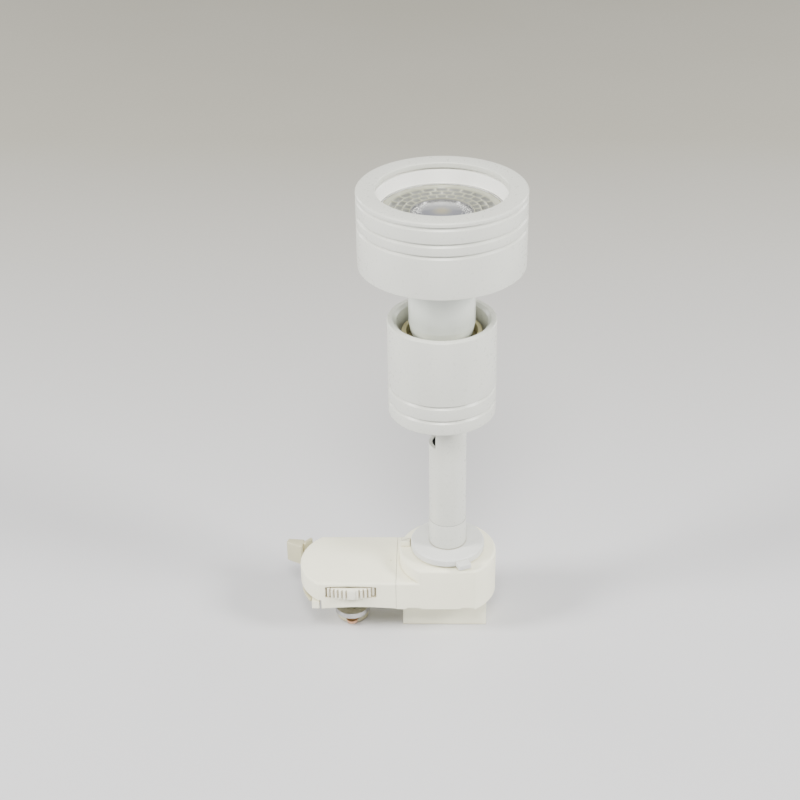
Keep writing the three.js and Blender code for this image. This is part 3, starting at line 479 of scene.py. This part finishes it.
def turned(name, outline, x=0, sides=144, soft=0.2):
    """A closed outline of (radius, height) points turned about a vertical axis."""
    points = softened([(*p[:2], 0) if p[0] == 0 else p for p in outline], soft)
    vertices, rings = [], []
    for radius, height in points:
        around = sides if radius > 1e-6 else 1
        rings.append([len(vertices) + k for k in range(around)])
        for k in range(around):
            angle = 2 * math.pi * k / sides
            vertices.append((x + radius * math.cos(angle), radius * math.sin(angle), height))
    faces = []
    for i, ring in enumerate(rings):
        other = rings[(i + 1) % len(rings)]
        for k in range(sides):
            a, b = ring[k % len(ring)], ring[(k + 1) % len(ring)]
            c, d = other[(k + 1) % len(other)], other[k % len(other)]
            face = list(dict.fromkeys((a, b, c, d)))
            if len(face) > 2:
                faces.append(face)
    return solid(name, vertices, faces)


def inset(points, distance):
    """A counter-clockwise outline drawn in by a distance."""
    drawn = []
    count = len(points)
    for i, point in enumerate(points):
        before = (point - points[i - 1]).normalized()
        after = (points[(i + 1) % count] - point).normalized()
        normal = Vector((-before.y - after.y, before.x + after.x)).normalized()
        drawn.append(point + normal * (distance / max(0.4, normal.dot(Vector((-before.y, before.x))))))
    return drawn


def extruded(name, outline, z0, z1, lower=0.0, upper=0.0, corner=0.0, steps=4):
    """An outline raised from z0 to z1, with its lower and upper edges rounded."""
    points = softened(outline, corner) if corner else [Vector(p[:2]) for p in outline]
    points = [p for i, p in enumerate(points) if (p - points[i - 1]).length > 1e-4]
    area = sum(points[i - 1].cross(p) for i, p in enumerate(points))
    if area < 0:
        points.reverse()
    levels = []
    for k in range(steps + 1 if lower else 1):
        a = math.pi / 2 * (1 - k / steps) if lower else 0
        levels.append((lower * (1 - math.cos(a)), z0 + lower * (1 - math.sin(a))))
    for k in range(steps + 1 if upper else 1):
        a = math.pi / 2 * k / steps if upper else 0
        levels.append((upper * (1 - math.cos(a)), z1 - upper * (1 - math.sin(a))))
    count = len(points)
    vertices = []
    for drawn_in, z in levels:
        vertices += [(p.x, p.y, z) for p in (inset(points, drawn_in) if drawn_in else points)]
    faces = [list(reversed(range(count))), [count * (len(levels) - 1) + k for k in range(count)]]
    for level in range(len(levels) - 1):
        base = level * count
        for k in range(count):
            after = (k + 1) % count
            faces.append([base + k, base + after, base + count + after, base + count + k])
    return solid(name, vertices, faces)


def arc(radius, start, end, steps=32, centre=(0, 0)):
    """Points of a circle's arc between two angles in degrees."""
    angles = [math.radians(start + (end - start) * k / steps) for k in range(steps + 1)]
    return [(centre[0] + radius * math.cos(a), centre[1] + radius * math.sin(a)) for a in angles]


def sector(inner, outer, start, end, centre=(0, 0), steps=32, clear=0.0):
    """A ring's sector. No point lies within the clear length of a corner, so the corner can be rounded."""
    outline = []
    for radius, first, last in ((outer, start, end), (inner, end, start)):
        gap = math.copysign(math.degrees(clear / radius), last - first)
        ends = arc(radius, first, last, 1, centre)
        middle = arc(radius, first + gap, last - gap, steps, centre)
        outline += [ends[0], *middle, ends[1]] if clear else middle
    return outline


def block(x0, x1, y0, y1, z0, z1, soft=0.0):
    outline = [(x0, y0), (x1, y0), (x1, y1), (x0, y1)]
    return extruded("block", outline, z0, z1, soft, soft, 1.6 * soft)


def rod(radius, z0, z1, at=(0, 0), sides=64, soft=0.0):
    return extruded("rod", arc(radius, 0, 360 - 360 / sides, sides - 1, at), z0, z1, soft, soft)


def cross_rod(radius, y0, y1, x, z, sides=64):
    made = rod(radius, y0, y1, sides=sides)
    made.data.transform(Matrix.Translation((x, 0, z)) @ Matrix.Rotation(math.radians(-90), 4, "X"))
    return made


def turn(piece, degrees):
    piece.data.transform(Matrix.Rotation(math.radians(degrees), 4, "Z"))
    return piece


def shifted(piece, x, y, z):
    piece.data.transform(Matrix.Translation((x, y, z)))
    return piece


def combined(piece, tools, operation):
    for tool in tools:
        modifier = piece.modifiers.new(operation, "BOOLEAN")
        modifier.operation = operation
        modifier.solver = "EXACT"
        modifier.object = tool
    bpy.context.view_layer.update()
    depsgraph = bpy.context.evaluated_depsgraph_get()
    mesh = bpy.data.meshes.new_from_object(piece.evaluated_get(depsgraph))
    if not mesh.vertices:
        raise ValueError(f"{piece.name}: the {operation.lower()} left nothing")
    piece.modifiers.clear()
    piece.data = mesh
    for tool in tools:
        bpy.data.objects.remove(tool)
    return piece


def cut(piece, *tools):
    return combined(piece, tools, "DIFFERENCE")


def joined(piece, *tools):
    return combined(piece, tools, "UNION")


def place(piece, name, body, slot, node, smooth=32, material=None):
    """Scales a finished piece to metres and gives it its body, its material and the CAD node it replaces."""
    piece.name = name
    piece.data.name = name
    piece.data.validate()
    piece.data.transform(Matrix.Scale(MM, 4))
    for face in piece.data.polygons:
        face.use_smooth = True
        face.material_index = 0
    piece.data.set_sharp_from_angle(angle=math.radians(smooth))
    piece.data.materials.clear()
    piece.data.materials.append(material or MATERIALS[slot])
    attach(piece, body)
    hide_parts(node)


# Adapter
def chord_angle(radius, half_width):
    return math.degrees(math.asin(half_width / radius))


def cover_outline(drawn_in, right):
    corner = chord_angle(COVER_END_RADIUS - drawn_in, HALF_WIDTH - drawn_in)
    end = arc(COVER_END_RADIUS - drawn_in, 180 - corner, 180 + corner, 48, (SELECTOR_X, 0))
    return [(right, -HALF_WIDTH + drawn_in), (right, HALF_WIDTH - drawn_in), *end]


def collar_outline(drawn_in):
    radius = COLLAR_RADIUS - drawn_in
    corner = chord_angle(radius, HALF_WIDTH - drawn_in)
    return arc(radius, -corner, corner, 48) + arc(radius, 180 - corner, 180 + corner, 48)


def low_outline(drawn_in, left):
    radius = COLLAR_RADIUS - drawn_in
    corner = chord_angle(radius, HALF_WIDTH - drawn_in)
    half = HALF_WIDTH - drawn_in
    return [(left, half), (left, -half), *arc(radius, -corner, corner, 48)]


def add_housing():
    shell = extruded("housing", low_outline(0, HOUSING_SEAM - 3), 0, COVER_TOP, upper=1.1, steps=6)
    collar = extruded("collar", collar_outline(0), 0.01, COLLAR_TOP, upper=1.3, steps=6)
    stop = sector(16.9, 21.2, 168.5, 178.5, steps=8)
    tab = extruded("tab", stop, COLLAR_TOP - 1, 23.9, upper=0.4, corner=0.7)
    shell = joined(shell, collar, tab)
    hollows = [
        block(-40, HOUSING_SEAM, -30, 30, -3, 20),  # what lies past the seam
        extruded("hollow", low_outline(WALL, HOUSING_SEAM + WALL), -1, COVER_TOP - WALL),
        extruded("hollow", collar_outline(WALL), -1.01, 17.4),
        rod(4.9, 16, 24),  # bore for the threaded nipple
        block(HOUSING_SEAM - 1, HOUSING_SEAM + 3, -3, 3, 3, 5.4),  # window for the wires
    ]
    # Notches in the lower edge
    for side in (-1, 1):
        for start, end in ((-18.2, -12), (6, 11.8)):
            y = side * (HALF_WIDTH - 1)
            hollows.append(block(start, end, y - 2, y + 2, -1, 0.8))
    place(cut(shell, *hollows), "housing", "adapter", "housing_plastic", "adapter_housing")


def add_cover():
    shell = extruded("cover", cover_outline(0, COVER_SEAM + 3), 0, COVER_TOP, upper=1.1, steps=6)
    middle = (SELECTOR_X, 0)
    tools = [
        block(COVER_SEAM, 0, -30, 30, -3, 20),  # what lies past the seam
        extruded("hollow", cover_outline(WALL, COVER_SEAM + 1), -1, COVER_TOP - WALL),
        # Windows that the wheel stands out of, and room for it inside
        block(SELECTOR_X - 10.9, SELECTOR_X + 11.9, -20, 20, 6.4, 12.1, soft=0.3),
        rod(20.8, 6.4, 12.1, middle, 96),
        turned("relief", [(17.1, 12), (20.7, 12), (20.7, 12.2), (17.1, 12.7)], x=SELECTOR_X, soft=0),
        rod(0.45, COVER_TOP - 0.2, COVER_TOP + 1, (-25.6, -0.7), 24),  # dimple
        extruded("sweep", sector(5, 40, 40, 219, middle), -1, 5),  # where the lever sweeps
        block(-70, -56.4, -19, -9, -1.02, 4.99),  # notch for the selector plate's foot tab
        cross_rod(160, -19, -15, -39, -158.85, 720),  # slight arch of the front lower edge
    ]
    place(cut(shell, *tools), "cover", "adapter", "housing_plastic", "adapter_cover")


def add_screw(x, y, bottom, height, top, name, node):
    """A cross-slotted screw driven from below: its head's lower face and height, and its shank's top."""
    radius, shank = 2, 1
    head = turned(name, [
        (0, bottom), (radius, bottom, 0.5), (radius, bottom + height), (shank, bottom + height + 0.01),
        (shank, top), (0, top),
    ], sides=48, soft=0.1)
    half, depth = 0.35, height * 0.45
    slot = block(-radius - 1, radius + 1, -half, half, bottom - 1, bottom + depth)
    cross = block(-half, half, -radius * 0.6, radius * 0.6, bottom - 1, bottom + depth)
    place(shifted(cut(head, slot, cross), x, y, 0), name, "adapter", "steel", node)


def add_adapter():
    add_housing()
    add_cover()
    for end, side in (("front", -1), ("back", 1)):
        add_screw(-25.4, side * 14.2, 3.2, 1.5, 10.4, f"cover_fixing_{end}", f"cover_screw_{end}")
        add_screw(13, side * 10.6, 0.7, 0.9, 10, f"housing_fixing_{end}", f"housing_screw_{end}")


# Phase selector and locking lever
# One rib of the wheel and the gap after it: share of the pitch, share of the rib's height
RIB = ((0.0, 0.8), (0.1, 1.0), (0.5, 1.0), (0.6, 0.8), (0.67, 0.0), (0.93, 0.0))


def wheel_outline():
    """Ribs all round, but for two smooth marks at the front and the back."""
    outline = []
    for i in range(WHEEL_RIBS):
        in_mark = min(abs(i - WHEEL_RIBS * 0.25), abs(i - WHEEL_RIBS * 0.75)) < 1.1
        for share, height in RIB:
            reach = WHEEL_TIP if in_mark else WHEEL_VALLEY + (WHEEL_TIP - WHEEL_VALLEY) * height
            angle = 2 * math.pi * (i + share) / WHEEL_RIBS
            outline.append((reach * math.cos(angle), reach * math.sin(angle)))
    return outline


def add_selector():
    wheel = extruded("wheel", wheel_outline(), 6.9, 11.6, lower=0.12, upper=0.12)
    wheel = cut(
        wheel,
        rod(4.5, 5, 13),
        turned("web", [(8, 10.2), (17.6, 10.2), (17.6, 13), (8, 13)]),
        turned("web", [(8, 5), (17.6, 5), (17.6, 8.1), (8, 8.1)]),
    )
    place(shifted(wheel, SELECTOR_X, 0, 0), "ribbed_wheel", "selector", "selector_plastic", "selector_wheel",
          smooth=40, material=WHEEL_PLASTIC)

    rotor = turned("rotor", [
        (0, -16.5), (7.2, -16.5, 0.6), (7.2, -10.8, 0.5), (4.2, -10.8), (4.2, 10.3), (0, 10.3),
    ], sides=96)
    rotor = cut(rotor, rod(1.5, 4, 12), block(-2.8, 2.8, -8, -2.4, -14.7, -12.7))
    place(shifted(rotor, SELECTOR_X, 0, 0), "rotor", "selector", "selector_plastic", "selector_rotor")


def add_lever():
    lever = turned("lever", [
        (4.5, -10.4), (6, -10.4), (6, -7), (7.6, -7), (7.6, 0.3), (12, 0.3), (12, 4.6), (6, 4.6), (6, 6.6),
        (4.5, 6.6),
    ], sides=96, soft=0.15)
    wedge = [(-31, 16.4), (-23.6, 12.3), (-22.7, 18.6), (-30.2, 19.2)]
    fin = sector(27.2, 28.6, 134, 146, steps=10, clear=1.2)
    lever = joined(
        lever,
        extruded("rim", sector(11, 22.6, 150, 216, clear=1.3), 0.41, 2, lower=0.2, upper=0.3, corner=0.5),
        extruded("setback", sector(11, 21.4, 151, 215, clear=1.1), 0.8, 4.5, upper=0.2, corner=0.4),
        extruded("arm", sector(11, 28.4, 138, 152, clear=1.1), 1.81, 4.4, upper=0.2, corner=0.4),
        extruded("handle", wedge, 1.8, 12, lower=0.3, upper=0.45, corner=0.75),
        extruded("fin", fin, 1.9, 11.8, lower=0.2, upper=0.3, corner=0.5),
    )
    place(shifted(lever, SELECTOR_X, 0, 0), "lever", "lever", "selector_plastic", "locking_lever")

    oval = arc(7.7, 0, 180, 32, (0, 4.9)) + arc(7.7, 180, 360, 32, (0, -4.9))
    cam = cut(extruded("cam", oval, -9.9, -7.3, lower=0.25, upper=0.25), rod(6.3, -12, -5))
    place(shifted(cam, SELECTOR_X, 0, 0), "cam_plate", "lever", "steel", "lock_cam")


# Stem
def add_stem():
    disc = turned("disc", [(5.1, 22.3), (16.4, 22.3), (16.4, 25.1), (15.8, 25.7), (5.1, 25.7)], soft=0.25)
    lug = turn(block(15, 20.1, -3, 3, 22.31, 24.9, soft=0.5), -67)
    place(joined(disc, lug), "pivot_disc", "stem", "disc_plastic", "swivel_disc")

    base = turned("base", [(5.1, 26), (8.25, 26), (8.25, 37.95), (5.1, 37.95)], soft=0.12)
    place(base, "stem_foot", "stem", "white_coat", "stem_base")

    tube = turned("tube", [(6.6, 38.05), (8.1, 38.05), (8.1, 90.6), (6.6, 90.6)], soft=0.12)
    tube = cut(tube, block(-10, 0, -6.2, 4.5, 77.4, 92, soft=0.25))
    place(tube, "stem_shell", "stem", "white_coat", "stem_tube")


# Head
def groove(radius, z, width=1.7, depth=0.85):
    """Points of a groove whose lower side is a chamfer that catches the light."""
    low, high = z - width / 2, z + width / 2
    return [(radius, low, 0.08), (radius - depth, low + depth, 0.05), (radius - depth, high, 0.05),
            (radius, high, 0.08)]


def add_head():
    shank = turned("arm", [
        (2.8, TILT_Z + 3), (4.1, TILT_Z + 3), (4.1, 93.2), (6.4, 93.2), (6.4, 94.1), (4.1, 94.1),
        (4.1, 103.6), (2.8, 103.6),
    ], sides=64, soft=0.12)
    eye = joined(cross_rod(4.2, -2, 2, 0, TILT_Z), block(-4.1, 4.1, -2, 2, TILT_Z, TILT_Z + 6))
    eye = cut(eye, cross_rod(1.56, -5, 5, 0, TILT_Z), rod(2.8, TILT_Z + 3, TILT_Z + 8))
    place(joined(shank, eye), "arm", "head", "steel", "tilt_arm", material=BLACKENED_STEEL)

    cup = turned("cup_shell", [
        (0, 94.4), (CUP_RADIUS, 94.4, 0.35), *groove(CUP_RADIUS, 100.4), *groove(CUP_RADIUS, 107.2),
        (CUP_RADIUS, 137.7, 0.9), (20.4, 137.7, 0.1), (19.1, 136.4, 0.1), (19.1, 97.4, 1.2), (0, 97.4),
    ], x=LAMP_X, sides=192)
    place(cut(cup, rod(4.4, 93, 99)), "cup_shell", "head", "white_coat", "cup")

    holder = turned("holder", [
        (0, 113.5), (16.8, 113.5, 0.4), (16.8, 132.2, 0.6), (14.8, 132.2, 0.4), (14.8, 127.5), (0, 127.5),
    ], sides=128)
    pin_circle, twist = 5, 26
    tools = [rod(9.4, 116.5, 123)]
    # Curved slots for the lamp's pins, each with the wide hole that a pin's head goes in by
    for start in (0, 180):
        half = math.degrees(1.9 / pin_circle)
        tools.append(extruded("slot", sector(3.1, 6.9, start - half, start + twist), 122, 129))
        angle = math.radians(start + twist)
        tools.append(rod(2.9, 122, 129, (pin_circle * math.cos(angle), pin_circle * math.sin(angle))))
    # Holes for the wires and for the bracket's screws
    for side in (-1, 1):
        tools.append(rod(1.4, 112, 117.5, (0, side * 6)))
        tools.append(rod(1.6, 112, 119.5, (side * 14.2, 0)))
    place(shifted(cut(holder, *tools), LAMP_X, 0, 0), "holder", "head", "holder_ceramic", "lampholder")


# Lamp
def add_ring():
    ring = turned("ring_shell", [
        (14.4, 162.8, 0.3), (RING_RADIUS, 162.8, 0.3), *groove(RING_RADIUS, 180.6),
        *groove(RING_RADIUS, 185.6), (RING_RADIUS, 191.6, 0.05), (33.65, 192.25, 0.05),
        (33.65, 193, 0.05), (31.2, 193), (31.2, 165.2, 1), (14.4, 165.2),
    ], x=LAMP_X, sides=256)
    place(ring, "ring_shell", "lamp", "white_coat", "ring_body")

    bezel = turned("bezel", [
        (26.6, 192.75), (29.3, 192.75), (29.3, 187), (30.9, 187), (30.9, 193.3), (RING_RADIUS, 193.3, 0.05),
        (RING_RADIUS, 194.5, 0.15), (33.8, 195, 0.15), (26.9, 195, 0.1), (26.6, 194.7, 0.1),
    ], x=LAMP_X, sides=256)
    place(bezel, "bezel", "lamp", "white_coat", "front_bezel")

    sleeve = turned("sleeve", [
        (25.3, 179), (28.6, 179), (28.6, 192.6), (27.9, 192.6), (27.9, 191.9), (26.6, 191.7, 0.1),
        (25.9, 186.6, 0.1), (25.3, 186.6),
    ], x=LAMP_X, sides=256, soft=0.1)
    place(sleeve, "sleeve", "lamp", "white_coat", "baffle_sleeve", material=LIT_BAFFLE_COAT)


def cell_distance(radius, angle):
    """How far, from 0 in a cell's middle to 1 at its edge, a point of the staggered lens cells lies."""
    row = (RIM_INNER - radius) / (RIM_INNER - DOME_RADIUS) * CELL_ROWS
    along = angle / (2 * math.pi) * CELLS + 0.5 * (math.floor(row) % 2)
    across = abs(along - round(along)) * 2
    rise = abs(row - math.floor(row) - 0.5) * 2
    return (across**5 + rise**5) ** 0.2


def lens_radii():
    """The radii of the lens mesh's rings, from the edge inwards."""
    cell_steps, dome_steps = 62, 26
    rim = [LENS_RADIUS, LENS_RADIUS - 0.2, LENS_RADIUS - OLIVE_EDGE, LENS_RADIUS - 1.2, DISH_START]
    rim += [RIM_INNER + 0.2, RIM_INNER]
    cells = [RIM_INNER + (DOME_RADIUS - RIM_INNER) * k / cell_steps for k in range(1, cell_steps + 1)]
    dome = [(DOME_RADIUS - 0.5) * (1 - k / dome_steps) for k in range(dome_steps)]
    return rim + cells + [DOME_RADIUS - 0.25] + dome


def lens_point(radius, angle):
    """The height of the lens's top at a point, and the point's marks in the order of LENS_MARKS."""
    height = LENS_TOP - DISH_DEPTH * min(1, max(0, (DISH_START - radius) / (DISH_START - DOME_RADIUS)))
    edge, outer, chip, painted_glint = 1.0, 0.0, 0.0, 0.0
    if radius == LENS_RADIUS:
        height = LENS_TOP - 0.15
    if radius > LENS_RADIUS - OLIVE_EDGE - 0.1:
        outer = 1.0
    elif DOME_RADIUS <= radius < RIM_INNER:
        near = min(1.0, cell_distance(radius, angle))
        edge = min(1.0, max(0.0, (near - 0.77) / 0.12))
        height -= 0.1 + 0.8 * (1 - near**2)
    elif radius < DOME_RADIUS:
        share = radius / DOME_RADIUS
        height += 0.9 * (1 - share**2) - 1.1
        outer = share**3
        chip = min(1.0, max(0.0, (CHIP_RADIUS - radius) / 3.5))
        # Painted glints: strongest at 0.8 of the dome's radius and towards its left and right
        painted_glint = max(0.0, 1 - abs(share - 0.8) / 0.22) * (0.1 + 0.9 * math.cos(angle) ** 2)
    return height, (edge, float(radius < DOME_RADIUS - 0.1), outer, chip, painted_glint)


def add_lens():
    sides = 432
    vertices, rings, faces = [], [], []
    marks = {name: [] for name in LENS_MARKS}

    def add_points(radius, point_at):
        ring = []
        for k in range(sides):
            angle = 2 * math.pi * k / sides
            height, values = point_at(radius, angle)
            ring.append(len(vertices))
            vertices.append((LAMP_X + radius * math.cos(angle), radius * math.sin(angle), height))
            for name, value in zip(LENS_MARKS, values):
                marks[name].append(value)
        return ring

    for radius in lens_radii():
        rings.append(add_points(radius, lens_point))
    bottom = add_points(LENS_RADIUS, lambda radius, angle: (LENS_BOTTOM, (1, 0, 0, 0, 0)))
    for outside, inside in zip(rings, rings[1:]):
        for k in range(sides):
            after = (k + 1) % sides
            faces.append([outside[k], outside[after], inside[after], inside[k]])
    faces.append(rings[-1])
    for k in range(sides):
        after = (k + 1) % sides
        faces.append([bottom[k], bottom[after], rings[0][after], rings[0][k]])
    faces.append(bottom[::-1])
    mesh = bpy.data.meshes.new("lens")
    mesh.from_pydata(vertices, [], faces)
    for name, values in marks.items():
        mesh.attributes.new(name, "FLOAT", "POINT").data.foreach_set("value", values)
    lens = bpy.data.objects.new("lens", mesh)
    bpy.context.scene.collection.objects.link(lens)
    place(lens, "optic", "lamp", "lens_plastic", "lamp_lens", smooth=60)


def add_lamp():
    add_ring()
    add_lens()
    neck = turned("neck", [
        (8.6, 128), (10.8, 128, 0.5), (12.6, 130, 0.8), (13.8, 136.5, 1), (13.8, 164.6, 0.3),
        (13.2, 165.2, 0.2), (13.2, 157.6), (11.4, 157.6), (11.4, 133), (8.6, 131),
    ], x=LAMP_X, sides=160)
    place(neck, "neck", "lamp", "neck_plastic", "lamp_neck")


def add_floor():
    low, far = CAD_BOX[0].z - FLOOR_GAP, FLOOR_REACH
    corners = [(-far, -far, low), (far, -far, low), (far, far, low), (-far, far, low)]
    floor = solid("floor", corners, [[0, 1, 2, 3]])
    floor.data.materials.append(floor_material("floor"))


make_camera()
make_world()
for light_name, settings in LIGHTS.items():
    make_area_light(light_name, *settings)
dress_kept_nodes()
add_adapter()
add_selector()
add_lever()
add_stem()
add_head()
add_lamp()
add_floor()
